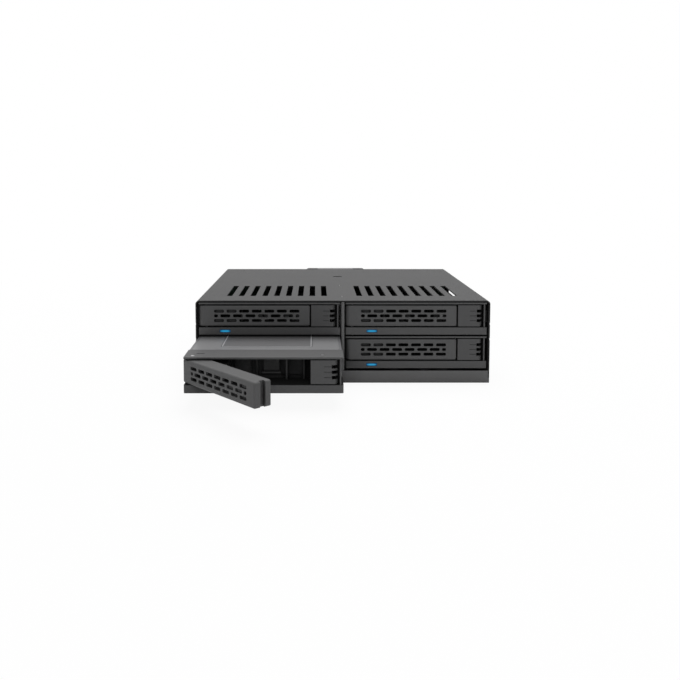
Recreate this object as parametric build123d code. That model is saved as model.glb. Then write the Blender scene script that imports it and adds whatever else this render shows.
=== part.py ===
"""Hot swap drive cage: four 2.5 inch drive trays in one 5.25 inch half-height bay.

Frame: X to the right, Y to the back, Z up, millimetres. The origin is on the centre line,
in the plane of the tray fronts and on the underside of the base plate.
Each tray is drawn in a frame of its own: u from the tray's centre line, y from its front
face and w from its underside, and is then moved to its bay.
"""
from build123d import *
from math import cos, radians, sin, sqrt
import os

# Drive, the piece that everything else is built around
drive_width = 69.85
drive_length = 100.2
drive_height = 14.8
drive_cover_thickness = 0.8
drive_cover_inset = 1.2
drive_hole_inset = 4.065
drive_hole_from_front = 9.6
drive_hole_from_rear = 14.0
drive_notch_width = 34.6
drive_notch_height = 6.4
drive_notch_depth = 4.6
connector_offset = 9.4
connector_height = 4.0
tongue_width = 30.6
tongue_thickness = 1.2
tongue_recess = 0.3

# Sheet metal of the cage
sheet = 0.7
bend_radius = 1.8
strip_height = 6.1
lip_height = 2.3
seam = 0.1
hem_width = 1.6
hem_depth = 1.5
foot_width = 8.0

# Room round the trays
side_clearance = 0.7
center_clearance = 0.85
strip_clearance = 1.3
level_clearance = 0.9
top_clearance = 0.3

# Tray
tray_margin = 0.275
drive_headroom = 0.2
floor_thickness = 1.0
floor_inset = 0.2
floor_overhang = 1.9
front_depth = 15.5
front_to_drive = 0.4
bar_height = 3.6
bar_skin = 1.2
flange_thickness = 0.8
partition_thickness = 2.0
wall_inset = 1.0
wall_thickness = 0.7
face_clearance = 0.5
corner_radius = 0.8

# Partition behind the lever, measured from the lever's right end, and the slots in the tray's floor
partition_windows = ((-35.5, -34.3), (-26.4, -24.4), (-23.5, -21.3),
                     (-13.1, -10.9), (-9.7, -3.3), (7.9, 11.4))
window_margin = 0.6
relief_panels = ((-33.9, -26.8, 1.6, 0.5), (-20.8, -13.7, 3.4, 0.9))
relief_top_margin = 0.3
relief_ledge = 0.8
relief_ribs = (-10.7, -2.9)
relief_rib_width = 0.8
relief_rib_depth = 3.6
floor_slot_rows = 3
floor_slot_length = 24.0
floor_slot_width = 4.0
floor_slot_places = (-8.0, 8.0, 16.5)
mark_offset = 2.9
mark_length = 3.6
mark_width = 0.8

# Lever
lever_left_margin = 3.6
button_zone = 15.1
lever_pivot_depth = 3.6
lever_depth = 8.0
lever_front_wall = 1.2
lever_side_wall = 1.2
lever_heel_radius = 2.6
lever_end_length = 4.5
lever_end_radius = 0.9
lever_groove_start = 3.0
lever_groove_width = 2.5
lever_groove_depth = 1.8
knuckle_radius = 2.6
lever_open_rest = 50.0

# Grille in the lever
slot_length = 4.9
slot_height = 1.5
slot_corner = 0.4
slot_pitch = 6.23
grille_end_margin = 0.3
row_pitch = 2.35
first_slot = 7.8
half_slot_length = 1.9
pad_height = 1.9
pad_gap = 0.3

# Release button
seam_to_button = 0.6
button_pivot_from_left = 5.3
button_pivot_depth = 5.0
button_end_radius = 7.4
button_wall = 1.2
button_depth = 6.9
button_left_depth = 5.5
button_end_gap = 0.1
notch_count = 3
notch_height = 1.5
notch_pitch = 2.4
notch_length = 3.4
notch_depth = 4.0

# Pins and the leaf spring
lever_pin_diameter = 1.6
button_pin_diameter = 1.5
pin_clearance = 0.05
pin_seat = 1.2
spring_root_inset = 1.0
spring_flat = 4.0
spring_run = 4.6
spring_tip_gap = 1.6
spring_thickness = 0.3
spring_height = 6.0

# Light pipe
window_width = 5.2
window_height = 1.3
window_from_left = 13.2
window_above_underside = 1.15
window_depth = 3.0
pipe_width = 3.0
pipe_thickness = 0.9
pipe_clearance = 0.1

# How far the lower left tray stands out at rest
open_tray_out = 46.0

# Ledges that the trays run on
ledge_reach = 2.7
ledge_gap = 0.1
ledge_thickness = 0.7
ledge_length = 16.0
ledge_count = 3
ledge_front_margin = 11.0
ledge_rear_margin = 6.5
ledge_stagger = 2.0

# Window beside the lever's knuckle, where its catch holds the tray, and the slot near the right front
catch_window_start = 5.0
catch_window_end = 8.9
front_slot_start = 5.5
front_slot_length = 3.0
front_slot_height = 6.0
front_slot_level = 8.2

# Vents and tab slots in the cover
vent_count = 9
vent_first = 9.1
vent_pitch = 6.1
vent_width = 2.9
vent_start = 15.9
vent_end = 53.5
tab_positions = (14.5, 55.0)
tab_length = 4.0
tab_slot_clearance = 0.15
side_vent_starts = (50.0, 87.0)
side_vent_length = 33.0
side_vent_height = 4.0
side_vent_levels = (15.5, 30.0)
wall_notch_levels = (22.0, 29.7)
wall_notch_depth = 0.7
wall_notch_height = 1.1
dimple_y = 95.0
dimple_radius = 2.8
dimple_depth = 0.3
cover_screw_from_front = 20.0
cover_screw_from_rear = 18.0
cover_screw_height = 4.3
cover_screw_head = 1.9

# Backplane and its connectors
socket_reach = 3.5
socket_insertion = 4.0
socket_width = 33.0
socket_height = 5.0
socket_base_length = 2.4
socket_base_margin = 1.6
socket_slot_clearance = 0.3
board_thickness = 1.6
board_side_margin = 2.6
board_bottom = 3.2
board_top_margin = 1.6
airflow_bottom = 5.8
airflow_height = 19.5
airflow_clearance = 0.4
port_length = 14.8
port_height = 6.6
data_port_width = 15.6
power_port_width = 26.0
port_wall = 1.2
port_gap = 2.7
power_port_margin = 3.3
port_opening_clearance = 0.3
chip_offset = 12.0
chip_size = 7.0
chip_thickness = 1.1
can_count = 2
can_pitch = 5.6
can_radius = 2.2
can_height = 6.0
header_size = 6.0
light_size = 1.6
light_height = 1.2
standoff_radius = 2.5
standoff_side_margin = 5.8
standoff_bottom_margin = 2.6
standoff_top_margin = 6.6

# Fan
fan_size = 40.0
fan_depth = 15.0
fan_lift = 0.3
fan_wall = 1.0
fan_corner_radius = 2.0
fan_hole_inset = 4.0
fan_hole_radius = 2.15
fan_hub_radius = 10.0
fan_blade_count = 7
fan_blade_thickness = 1.0
fan_blade_root = (38, 11.0)
fan_blade_tip = (58, 13.5)
fan_tip_clearance = 0.6
fan_shaft_radius = 1.5
fan_motor_depth = 2.2
fan_strut_width = 2.4
fan_flange = 3.2

# Screws and their holes
screw_radius = 1.45
screw_hole_radius = 1.65
screw_head_radius = 2.7
screw_head_height = 0.45
screw_head_seat = 0.05
drive_screw_reach = 3.0
drive_hole_depth = 3.2
tapped_radius = 1.3
side_hole_spacing_y = 79.25
side_hole_from_rear = 4.35
side_hole_levels = (10.0, 21.84)
bottom_hole_inset = 3.15

# Sizes that follow from the ones above
drive_hole_spacing_y = drive_length - drive_hole_from_rear - drive_hole_from_front
tray_width = drive_width + 2 * tray_margin
tray_half = tray_width / 2
tray_height = floor_thickness + drive_height + drive_headroom
floor_half = tray_half - floor_inset
drive_front = front_depth + front_to_drive
drive_back = drive_front + drive_length
floor_end = drive_back + floor_overhang
face_bottom = bar_height + face_clearance
face_top = tray_height - flange_thickness - face_clearance
face_middle = (face_bottom + face_top) / 2
lever_left = -tray_half
lever_right = tray_half - button_zone
slot_room = lever_right - lever_left - first_slot - lever_end_length - grille_end_margin
slot_count = int((slot_room + slot_pitch - slot_length) / slot_pitch)
lever_pivot_u = lever_left + lever_left_margin
button_left = lever_right + seam_to_button
button_pivot_u = button_left + button_pivot_from_left
wall_outer = tray_half - wall_inset
wall_inner = button_pivot_u + button_end_radius + button_end_gap
window_u = -tray_half + window_from_left
connector_w = floor_thickness + connector_height

column_x = sheet / 2 + center_clearance + tray_half
half_width = column_x + tray_half + side_clearance + sheet
side_face = half_width - sheet
level_lower = strip_height + strip_clearance
level_upper = level_lower + tray_height + level_clearance
ceiling = level_upper + tray_height + top_clearance
cage_height = ceiling + sheet
board_front = drive_back + socket_reach
board_back = board_front + board_thickness
cage_depth = board_back + port_length
panel_front = cage_depth - sheet
fan_bore = fan_size / 2 - fan_wall
fan_center_height = fan_lift + fan_size / 2
fan_hole_spacing = fan_size - 2 * fan_hole_inset
side_hole_ys = (cage_depth - side_hole_from_rear - side_hole_spacing_y, cage_depth - side_hole_from_rear)
ledge_step = (floor_end - ledge_rear_margin - front_depth - ledge_front_margin) / ledge_count
ledge_starts = [front_depth + ledge_front_margin + ledge_step * i for i in range(ledge_count)]

columns = {"left": -column_x, "right": column_x}
levels = {"upper": level_upper, "lower": level_lower}
bays = {f"{level}_{side}": (x, z) for level, z in levels.items() for side, x in columns.items()}


def block(x0, x1, y0, y1, z0, z1):
    """A box between two corners."""
    middle = Pos((x0 + x1) / 2, (y0 + y1) / 2, (z0 + z1) / 2)
    return middle * Box(x1 - x0, y1 - y0, z1 - z0)


def rod_x(y, z, x0, x1, radius):
    """A cylinder along X from x0 to x1."""
    return Pos((x0 + x1) / 2, y, z) * Rot(0, 90, 0) * Cylinder(radius, x1 - x0)


def rod_y(x, z, y0, y1, radius):
    """A cylinder along Y from y0 to y1."""
    return Pos(x, (y0 + y1) / 2, z) * Rot(90, 0, 0) * Cylinder(radius, y1 - y0)


def rod_z(x, y, z0, z1, radius):
    """A cylinder along Z from z0 to z1."""
    return Pos(x, y, (z0 + z1) / 2) * Cylinder(radius, z1 - z0)


def slot_y(x, z, y0, y1, length, height):
    """A slot with broken corners, along X, cut from y0 to y1."""
    outline = Pos(x, z) * Rectangle(length, height)
    outline = chamfer(outline.vertices(), slot_corner)
    return Pos(0, y0, 0) * extrude(Plane.XZ * outline, amount=y1 - y0, dir=(0, 1, 0))


def save(node, *solids):
    """Write one node, with all its solids."""
    shape = solids[0] if len(solids) == 1 else Compound(children=list(solids))
    export_step(shape, f"parts/{node}.step")


def in_bay(shape, bay):
    """Move a piece of a tray to its bay, and the lower left one out to where it stands open."""
    x, z = bays[bay]
    out = open_tray_out if bay == "lower_left" else 0
    return Pos(x, -out, z) * shape


def ledge_tabs(face_x, toward, shift=0.0):
    """Tabs lanced out of a sheet face, bent toward -1 or +1 along X, under both trays."""
    tabs = []
    for level in (level_lower, level_upper):
        for start in ledge_starts:
            x0, x1 = sorted((face_x, face_x + toward * ledge_reach))
            top = level - ledge_gap
            y = start + shift
            tabs.append(block(x0, x1, y, y + ledge_length, top - ledge_thickness, top))
    return tabs


def ledge_windows(x0, x1, shift=0.0):
    """The windows that the tabs leave in the sheet, just above them."""
    cuts = []
    for level in (level_lower, level_upper):
        for start in ledge_starts:
            y = start + shift
            low = level - ledge_gap
            cuts.append(block(x0, x1, y, y + ledge_length, low, low + ledge_reach))
    return cuts


def catch_windows(x0, x1):
    """The windows beside each lever's pivot, for its catch."""
    cuts = []
    for level in (level_lower, level_upper):
        z0 = level + face_bottom - seam_to_button
        z1 = level + face_top + seam_to_button
        cuts.append(block(x0, x1, catch_window_start, catch_window_end, z0, z1))
    return cuts


def top_cover():
    """Top and both side walls, folded from one sheet."""
    wall_bottom = lip_height + seam
    outer = Pos(0, (wall_bottom + cage_height) / 2) * Rectangle(2 * half_width, cage_height - wall_bottom)
    outer = fillet(outer.vertices().group_by(Axis.Y)[-1], bend_radius)
    inner = Pos(0, (wall_bottom + ceiling) / 2) * Rectangle(2 * side_face, ceiling - wall_bottom)
    inner = fillet(inner.vertices().group_by(Axis.Y)[-1], bend_radius - sheet)
    cover = extrude(Plane.XZ * (outer - inner), amount=cage_depth, dir=(0, 1, 0))
    cuts = []
    for side in (-1, 1):
        for i in range(vent_count):
            x = side * (vent_first + vent_pitch * i)
            vent = (x - vent_width / 2, x + vent_width / 2, vent_start, vent_end)
            cuts.append(block(*vent, ceiling - sheet, cage_height + sheet))
        x0, x1 = sorted((side * (side_face - sheet), side * (half_width + sheet)))
        for start in side_vent_starts:
            for z in side_vent_levels:
                low = z - side_vent_height / 2
                cuts.append(block(x0, x1, start, start + side_vent_length, low, low + side_vent_height))
        for y in side_hole_ys:
            for z in side_hole_levels:
                cuts.append(rod_x(y, z, x0, x1, tapped_radius))
        cuts += ledge_windows(x0, x1)
        for z in wall_notch_levels:
            half = wall_notch_height / 2
            cuts.append(block(x0, x1, -1, wall_notch_depth, z - half, z + half))
        for y in cover_screw_ys():
            cuts.append(countersink(y, side, half_width))
    cuts += catch_windows(-half_width - sheet, sheet - side_face)
    slot_z = level_upper + front_slot_level
    slot_end = front_slot_start + front_slot_length
    cuts.append(block(side_face - sheet, half_width + sheet, front_slot_start, slot_end,
                      slot_z - front_slot_height / 2, slot_z + front_slot_height / 2))
    cuts.append(rod_z(0, dimple_y, cage_height - dimple_depth, cage_height + 1, dimple_radius))
    for y in tab_positions:
        half = sheet / 2 + tab_slot_clearance
        reach = tab_length / 2 + tab_slot_clearance
        cuts.append(block(-half, half, y - reach, y + reach, ceiling - sheet, cage_height + sheet))
    cover = cover - cuts
    return cover + ledge_tabs(-side_face, 1) + ledge_tabs(side_face, -1)


def cover_screw_ys():
    """Where the cover's screws stand along each side."""
    return (cover_screw_from_front, cage_depth - cover_screw_from_rear)


def countersink(y, side, face):
    """Cone in a side wall, from the screw head's radius at the face to its shank's inside."""
    cone = Cone(cover_screw_head, tapped_radius, sheet)
    return Pos(side * (face - sheet / 2), y, cover_screw_height) * Rot(0, side * -90, 0) * cone


def cover_screw(y, side):
    """Flat screw through the cover's wall into the base plate's flange."""
    head = countersink(y, side, half_width)
    x0, x1 = sorted((side * (side_face - 2 * sheet), side * side_face))
    return head + rod_x(y, cover_screw_height, x0, x1, tapped_radius)


def port_places():
    """Centre, width and kind of each port that looks out of the rear panel."""
    places = []
    power_x = side_face - power_port_margin - power_port_width / 2
    data_x = power_x - power_port_width / 2 - port_gap - data_port_width / 2
    for side in (-1, 1):
        for level in (level_lower, level_upper):
            places.append((side * data_x, level + connector_w, data_port_width, "data"))
        places.append((side * power_x, level_lower + connector_w, power_port_width, "power"))
    return places


def base_plate():
    """Floor pan, tall front strip, side flanges and rear panel, folded from one sheet."""
    pan = block(-half_width, half_width, 0, cage_depth, 0, sheet)
    lips = []
    flanges = []
    for side in (-1, 1):
        inner, middle, outer = sorted((side * (side_face - sheet), side * side_face, side * half_width))
        lip_x = (middle, outer) if side > 0 else (inner, middle)
        flange_x = (inner, middle) if side > 0 else (middle, outer)
        lips.append(block(*lip_x, 0, cage_depth, 0, lip_height))
        flanges.append(block(*flange_x, 0, cage_depth, 0, strip_height))
    strip = block(-side_face, side_face, 0, sheet, 0, strip_height)
    panel = Pos(0, (ceiling - seam) / 2) * Rectangle(2 * (side_face - seam), ceiling - seam)
    panel = fillet(panel.vertices().group_by(Axis.Y)[-1], bend_radius)
    panel = Pos(0, panel_front, 0) * extrude(Plane.XZ * panel, amount=sheet, dir=(0, 1, 0))
    plate = pan + lips + flanges + [strip, panel]
    cuts = [rod_y(0, fan_center_height, panel_front - sheet, cage_depth + sheet, fan_bore)]
    for x, z in fan_corners():
        cuts.append(rod_y(x, z, panel_front - sheet, cage_depth + sheet, fan_hole_radius))
    for x, z, width, kind in port_places():
        half = width / 2 + port_opening_clearance
        tall = port_height / 2 + port_opening_clearance
        cuts.append(block(x - half, x + half, panel_front - sheet, cage_depth + sheet, z - tall, z + tall))
    for x, z in standoff_places():
        cuts.append(rod_y(x, z, panel_front - sheet, cage_depth + sheet, screw_hole_radius))
    for side in (-1, 1):
        x0, x1 = sorted((side * (side_face - 2 * sheet), side * side_face))
        for y in cover_screw_ys():
            cuts.append(rod_x(y, cover_screw_height, x0, x1, tapped_radius))
    for x in (bottom_hole_inset - half_width, half_width - bottom_hole_inset):
        for y in side_hole_ys:
            cuts.append(rod_z(x, y, -sheet, 2 * sheet, tapped_radius))
    return plate - cuts


def center_divider():
    """Sheet between the two columns, with a hemmed front edge, a foot and two top tabs."""
    wall = block(-sheet / 2, sheet / 2, 0, floor_end, sheet, ceiling)
    hem = block(-hem_width / 2, hem_width / 2, sheet + seam, sheet + seam + hem_depth,
                strip_height + seam, ceiling)
    foot = block(-sheet / 2, foot_width, sheet + seam, floor_end, sheet, 2 * sheet)
    tabs = [block(-sheet / 2, sheet / 2, y - tab_length / 2, y + tab_length / 2, ceiling, cage_height)
            for y in tab_positions]
    wall = wall - block(-hem_width, hem_width, -sheet, sheet + seam, 0, strip_height + seam)
    divider = wall + hem + foot + tabs
    shift = ledge_length + ledge_stagger
    windows = ledge_windows(-sheet, sheet) + ledge_windows(-sheet, sheet, shift)
    divider = divider - (catch_windows(-hem_width, hem_width) + windows)
    return divider + ledge_tabs(-sheet / 2, -1) + ledge_tabs(sheet / 2, 1, shift)


def fan_corners():
    """Centres of the fan's four mounting holes."""
    half = fan_hole_spacing / 2
    return [(x, fan_center_height + z) for x in (-half, half) for z in (-half, half)]


def standoff_places():
    """Centres of the posts that carry the backplane."""
    x = side_face - standoff_side_margin
    levels = (board_bottom + standoff_bottom_margin, ceiling - standoff_top_margin)
    return [(side * x, z) for side in (-1, 1) for z in levels]


def backplane_board():
    """Circuit board across the back of both columns, with an airflow opening before the fan."""
    edge = side_face - board_side_margin
    board = block(-edge, edge, board_front, board_back, board_bottom, ceiling - board_top_margin)
    socket_edge = connector_offset - column_x + socket_width / 2 + socket_base_margin
    low = airflow_bottom
    cuts = [block(socket_edge + airflow_clearance, fan_bore, board_front - 1, board_back + 1,
                  low, low + airflow_height)]
    for x, z in standoff_places():
        cuts.append(rod_y(x, z, board_front - 1, board_back + 1, screw_hole_radius))
    return board - cuts


def drive_socket(x, z):
    """Socket that the tongue in the drive's rear notch slides into."""
    nose_y = drive_back - socket_insertion
    nose = block(x - socket_width / 2, x + socket_width / 2, nose_y, board_front,
                 z - socket_height / 2, z + socket_height / 2)
    base_half = socket_width / 2 + socket_base_margin
    base = block(x - base_half, x + base_half, board_front - socket_base_length, board_front,
                 z - socket_height / 2, z + socket_height / 2 + socket_base_margin)
    slot_half = tongue_width / 2 + socket_slot_clearance
    slot_tall = tongue_thickness / 2 + socket_slot_clearance
    slot = block(x - slot_half, x + slot_half, nose_y - 1, nose_y + socket_insertion + tongue_recess,
                 z - slot_tall, z + slot_tall)
    return nose + base - slot


def rear_port(x, z, width):
    """Shrouded port on the back of the board, with its contact tongue."""
    tall = port_height / 2
    body = block(x - width / 2, x + width / 2, board_back, cage_depth, z - tall, z + tall)
    mouth_y = cage_depth - port_length / 2
    half = width / 2 - port_wall
    mouth = block(x - half, x + half, mouth_y, cage_depth + 1, z - tall + port_wall, z + tall - port_wall)
    tongue_half = half - port_wall
    tongue = block(x - tongue_half, x + tongue_half, mouth_y, cage_depth - port_wall,
                   z - port_wall / 2, z + port_wall / 2)
    return body - mouth + tongue


def status_light(x, z):
    """Small light on the front of the board, behind the end of a tray's light pipe."""
    half = light_size / 2
    return block(x - half, x + half, board_front - light_height, board_front, z, z + light_size)


def board_components():
    """Controller chips, capacitors and the fan's header on the back of the board."""
    parts = []
    for side in (-1, 1):
        x = side * (column_x + chip_offset)
        z = level_upper + connector_w
        parts.append(block(x - chip_size / 2, x + chip_size / 2, board_back, board_back + chip_thickness,
                           z - chip_size / 2, z + chip_size / 2))
        for i in range(can_count):
            can_x = x + side * (chip_size + can_pitch * i)
            parts.append(rod_y(can_x, z, board_back, board_back + can_height, can_radius))
    header_x = fan_bore + header_size
    header_z = ceiling - standoff_top_margin + header_size / 4
    parts.append(block(header_x - header_size / 2, header_x + header_size / 2,
                       board_back, board_back + header_size,
                       header_z - header_size / 4, header_z + header_size / 4))
    return parts


def standoff(x, z):
    """Hexagonal post between the rear panel and the board, bored for its screw."""
    hexagon = Pos(x, z) * RegularPolygon(standoff_radius, 6)
    length = panel_front - board_back
    post = Pos(0, board_back, 0) * extrude(Plane.XZ * hexagon, amount=length, dir=(0, 1, 0))
    return post - rod_y(x, z, board_back - 1, panel_front + 1, screw_radius)


def board_screw(x, z):
    """Screw through the rear panel and the standoff into the board."""
    head = rod_y(x, z, cage_depth, cage_depth + 4 * screw_head_height, screw_head_radius)
    return head + rod_y(x, z, board_front, cage_depth, screw_radius)


def fan_housing():
    """Square fan frame: round duct, corner flanges, motor seat on four struts."""
    square = Pos(0, fan_center_height) * RectangleRounded(fan_size, fan_size, fan_corner_radius)
    body = extrude(Plane.XZ * square, amount=fan_depth, dir=(0, 1, 0))
    y0 = cage_depth
    y1 = cage_depth + fan_depth
    body = Pos(0, y0, 0) * body
    body = body - rod_y(0, fan_center_height, y0 - 1, y1 + 1, fan_bore)
    half = fan_hole_spacing / 2
    relief = fan_size / 2 - half
    for x, z in fan_corners():
        body = body - rod_y(x, z, y0 - 1, y1 + 1, fan_hole_radius)
        out_x = relief if x > 0 else -relief
        out_z = relief if z > fan_center_height else -relief
        gap_x = sorted((x - out_x, x + 2 * out_x))
        gap_z = sorted((z - out_z, z + 2 * out_z))
        body = body - block(*gap_x, y0 + fan_flange, y1 - fan_flange, *gap_z)
    seat = rod_y(0, fan_center_height, y1 - fan_motor_depth, y1, fan_hub_radius)
    struts = []
    for angle in (45, 135, 225, 315):
        arm = block(fan_hub_radius - 1, fan_bore + 0.4, y1 - fan_motor_depth, y1,
                    -fan_strut_width / 2, fan_strut_width / 2)
        struts.append(Pos(0, 0, fan_center_height) * Rot(0, angle, 0) * arm)
    shaft = rod_y(0, fan_center_height, y0 + fan_flange, y1 - fan_motor_depth, fan_shaft_radius)
    return body + seat + struts + shaft


def fan_rotor():
    """Hub cup with twisted blades, running on the motor's shaft."""
    y0 = cage_depth + 1.0
    y1 = cage_depth + fan_depth - fan_motor_depth - 1.0
    hub = rod_y(0, 0, y0, y1, fan_hub_radius)
    hub = hub - rod_y(0, 0, y0 + fan_flange - 1.0, y1 + 1, fan_shaft_radius + pin_clearance)
    blade = fan_blade(y0, y1)
    blades = [Rot(0, 360 / fan_blade_count * i, 0) * blade for i in range(fan_blade_count)]
    return Pos(0, 0, fan_center_height) * (hub + blades)


def fan_blade(y0, y1):
    """One blade, lofted from a steep root to a flatter tip."""
    middle = (y0 + y1) / 2
    stations = []
    tip = fan_bore - fan_tip_clearance
    for radius, pitch, chord in ((fan_hub_radius - 1, *fan_blade_root), (tip, *fan_blade_tip)):
        section = Plane(origin=(radius, middle, 0), x_dir=(0, 1, 0), z_dir=(1, 0, 0))
        stations.append(section * Rot(0, 0, pitch) * Rectangle(chord, fan_blade_thickness))
    swept = loft(stations)
    keep = block(0, fan_size, y0, y1, -fan_size, fan_size) & rod_y(0, 0, y0, y1, tip)
    return swept & keep


def fan_screw(x, z):
    """Screw that holds a corner of the fan to the rear panel."""
    head_y = cage_depth + fan_depth
    head = rod_y(x, z, head_y, head_y + 4 * screw_head_height, screw_head_radius)
    return head + rod_y(x, z, panel_front - 2 * sheet, head_y, screw_radius)


def light_pipe():
    """Clear bar that carries the board's light to the window in the tray's front."""
    w0 = window_above_underside
    w1 = w0 + window_height
    head = block(window_u - window_width / 2, window_u + window_width / 2, 0, window_depth, w0, w1)
    step_y = front_depth - partition_thickness
    low = pipe_clearance
    high = low + pipe_thickness
    outline = Polyline(
        (window_depth, w0), (step_y, w0), (front_depth, low), (floor_end, low),
        (floor_end, high), (front_depth, high), (step_y, w1), (window_depth, w1), close=True)
    strip = extrude(Plane.YZ * make_face(outline), amount=pipe_width, dir=(1, 0, 0))
    return head + Pos(window_u - pipe_width / 2, 0, 0) * strip


def light_pipe_channel():
    """Room for the light pipe in the tray, with its clearance all round."""
    c = pipe_clearance
    w0 = window_above_underside - c
    head = block(window_u - window_width / 2 - c, window_u + window_width / 2 + c, -1, window_depth + c,
                 w0, w0 + window_height + 2 * c)
    run_half = pipe_width / 2 + c
    front = block(window_u - run_half, window_u + run_half, window_depth, front_depth,
                  -1, w0 + window_height + 2 * c)
    run = block(window_u - run_half, window_u + run_half, front_depth, floor_end + 1,
                -1, floor_thickness + 1)
    bridge = block(window_u - run_half - 1, window_u + run_half + 1, front_depth, floor_end, -1, 0)
    return [head, front, run, bridge]


def grille_slots():
    """Centre and length of each slot of the grille, and its row."""
    left = lever_left + first_slot + slot_length / 2
    slots = []
    for row in (-1, 1):
        for i in range(slot_count):
            slots.append((left + slot_pitch * i, slot_length, row))
    for i in range(slot_count - 1):
        slots.append((left + slot_pitch * (i + 0.5), slot_length, 0))
    right = left + slot_pitch * (slot_count - 1)
    ends = (slot_length - half_slot_length) / 2
    slots.append((left - ends, half_slot_length, 0))
    slots.append((right + ends, half_slot_length, 0))
    return slots


def tray():
    """Moulded tray: front block open to the front, partition, floor under the drive."""
    u0 = -tray_half
    u1 = tray_half
    bar_plan = Pos(0, front_depth / 2) * Rectangle(tray_width, front_depth)
    bar_plan = fillet(bar_plan.vertices().group_by(Axis.Y)[0], corner_radius)
    bar = extrude(bar_plan, amount=bar_height)
    flange = Pos(0, 0, tray_height - flange_thickness) * extrude(bar_plan, amount=flange_thickness)
    behind = front_depth - partition_thickness
    pocket = block(u0 + bar_skin, u1 - bar_skin, 2 * bar_skin, behind, -1, bar_height - bar_skin)
    ribs = [block(u - 0.5, u + 0.5, 2 * bar_skin, behind, 0, bar_height - bar_skin)
            for u in (-tray_half / 2, 0, tray_half / 2)]
    bosses = [rod_z(lever_pivot_u, lever_pivot_depth, 0, bar_height, knuckle_radius - 0.5),
              rod_z(button_pivot_u, button_pivot_depth, 0, bar_height, knuckle_radius - 0.5)]
    partition = block(-wall_outer, wall_outer, behind, front_depth, 0, tray_height)
    right_wall = block(wall_inner, wall_inner + wall_thickness, 0.5, front_depth, bar_height, tray_height)
    floor = block(-floor_half, floor_half, front_depth, floor_end, 0, floor_thickness)
    pads = []
    for row in (-1, 1):
        w = face_middle + row * row_pitch
        first = lever_left + first_slot
        last = first + slot_pitch + slot_length
        pads.append(block(first + 0.2, last, lever_front_wall + pad_gap, front_depth,
                          w - pad_height / 2, w + pad_height / 2))
    body = bar - pocket + ribs + bosses + [flange, partition, right_wall, floor] + pads + partition_relief()
    top = tray_height - flange_thickness
    windows = [block(lever_right + a, lever_right + b, behind - 1, front_depth + 1,
                     face_bottom + window_margin, face_top - window_margin)
               for a, b in partition_windows]
    slots = []
    first_y = drive_holes()[0][1] - floor_slot_length / 2
    slot_step = drive_hole_spacing_y / (floor_slot_rows - 1)
    for row in range(floor_slot_rows):
        y = first_y + slot_step * row
        for u in floor_slot_places:
            slots.append(block(u - floor_slot_width / 2, u + floor_slot_width / 2, y, y + floor_slot_length,
                               -1, floor_thickness + 1))
    holes = []
    for u, y in drive_holes():
        holes.append(rod_z(u, y, -1, floor_thickness + 1, screw_hole_radius))
        holes.append(rod_z(u, y, -1, screw_head_height + screw_head_seat, screw_head_radius + 0.2))
    seats = (bar_height - pin_seat, top + pin_seat)
    pins = [rod_z(lever_pivot_u, lever_pivot_depth, *seats, lever_pin_diameter / 2),
            rod_z(button_pivot_u, button_pivot_depth, *seats, button_pin_diameter / 2)]
    mark_u = lever_pivot_u + mark_offset
    mark = block(mark_u - mark_length / 2, mark_u + mark_length / 2, lever_depth - mark_width / 2,
                 lever_depth + mark_width / 2, top - 1, tray_height + 1)
    return body - (windows + slots + holes + pins + [mark] + light_pipe_channel())


def partition_relief():
    """What stands out of the partition behind the lever: two panels, a ledge and two ribs."""
    front = front_depth - partition_thickness
    low = bar_height
    pieces = []
    for a, b, w0, depth in relief_panels:
        u0 = lever_right + a
        u1 = lever_right + b
        pieces.append(block(u0, u1, front - depth, front, low + w0, face_top - relief_top_margin))
    pieces.append(block(u0 - relief_ledge, u1 + relief_ledge, front - 3 * depth, front,
                        low + w0 - relief_ledge, low + w0))
    for a in relief_ribs:
        u = lever_right + a
        pieces.append(block(u, u + relief_rib_width, front - relief_rib_depth, front, low, tray_height))
    return pieces


def drive_holes():
    """The four screw holes under the drive, in the tray's frame."""
    y1 = drive_back - drive_hole_from_rear
    y0 = y1 - drive_hole_spacing_y
    half = drive_width / 2 - drive_hole_inset
    return [(u, y) for u in (-half, half) for y in (y0, y1)]


def lever():
    """Front lever: slotted face, hollow behind, knuckle at the left, groove and hook at the right."""
    left = lever_left
    right = lever_right
    groove_end = lever_groove_start + lever_groove_width
    outline = Polyline(
        (left, 0), (right, 0), (right, lever_groove_start), (right - lever_groove_depth, lever_groove_start),
        (right - lever_groove_depth, groove_end), (right, groove_end), (right, lever_depth),
        (left, lever_depth), close=True)
    plan = make_face(outline)
    corners = plan.vertices().sort_by(Axis.Y)
    front = corners.group_by(Axis.Y)[0].sort_by(Axis.X)
    plan = fillet(front[0], lever_heel_radius)
    plan = fillet(plan.vertices().group_by(Axis.Y)[0].sort_by(Axis.X)[-1], corner_radius)
    solid = Pos(0, 0, face_bottom) * extrude(plan, amount=face_top - face_bottom)
    end_edges = solid.edges().filter_by(Axis.Y).group_by(Axis.X)[-1]
    solid = fillet(end_edges, lever_end_radius)
    w0 = face_bottom + lever_side_wall
    w1 = face_top - lever_side_wall
    cavity_left = left + lever_side_wall
    cavity = block(cavity_left, right - lever_end_length, lever_front_wall, lever_depth + 1, w0, w1)
    knuckle = rod_z(lever_pivot_u, lever_pivot_depth, face_bottom, face_top, knuckle_radius)
    slots = [slot_y(u, face_middle + row * row_pitch, -1, lever_front_wall + 0.5, length, slot_height)
             for u, length, row in grille_slots()]
    bore = rod_z(lever_pivot_u, lever_pivot_depth, 0, tray_height, lever_pin_diameter / 2 + pin_clearance)
    return solid - cavity + knuckle - (slots + [bore])


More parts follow.
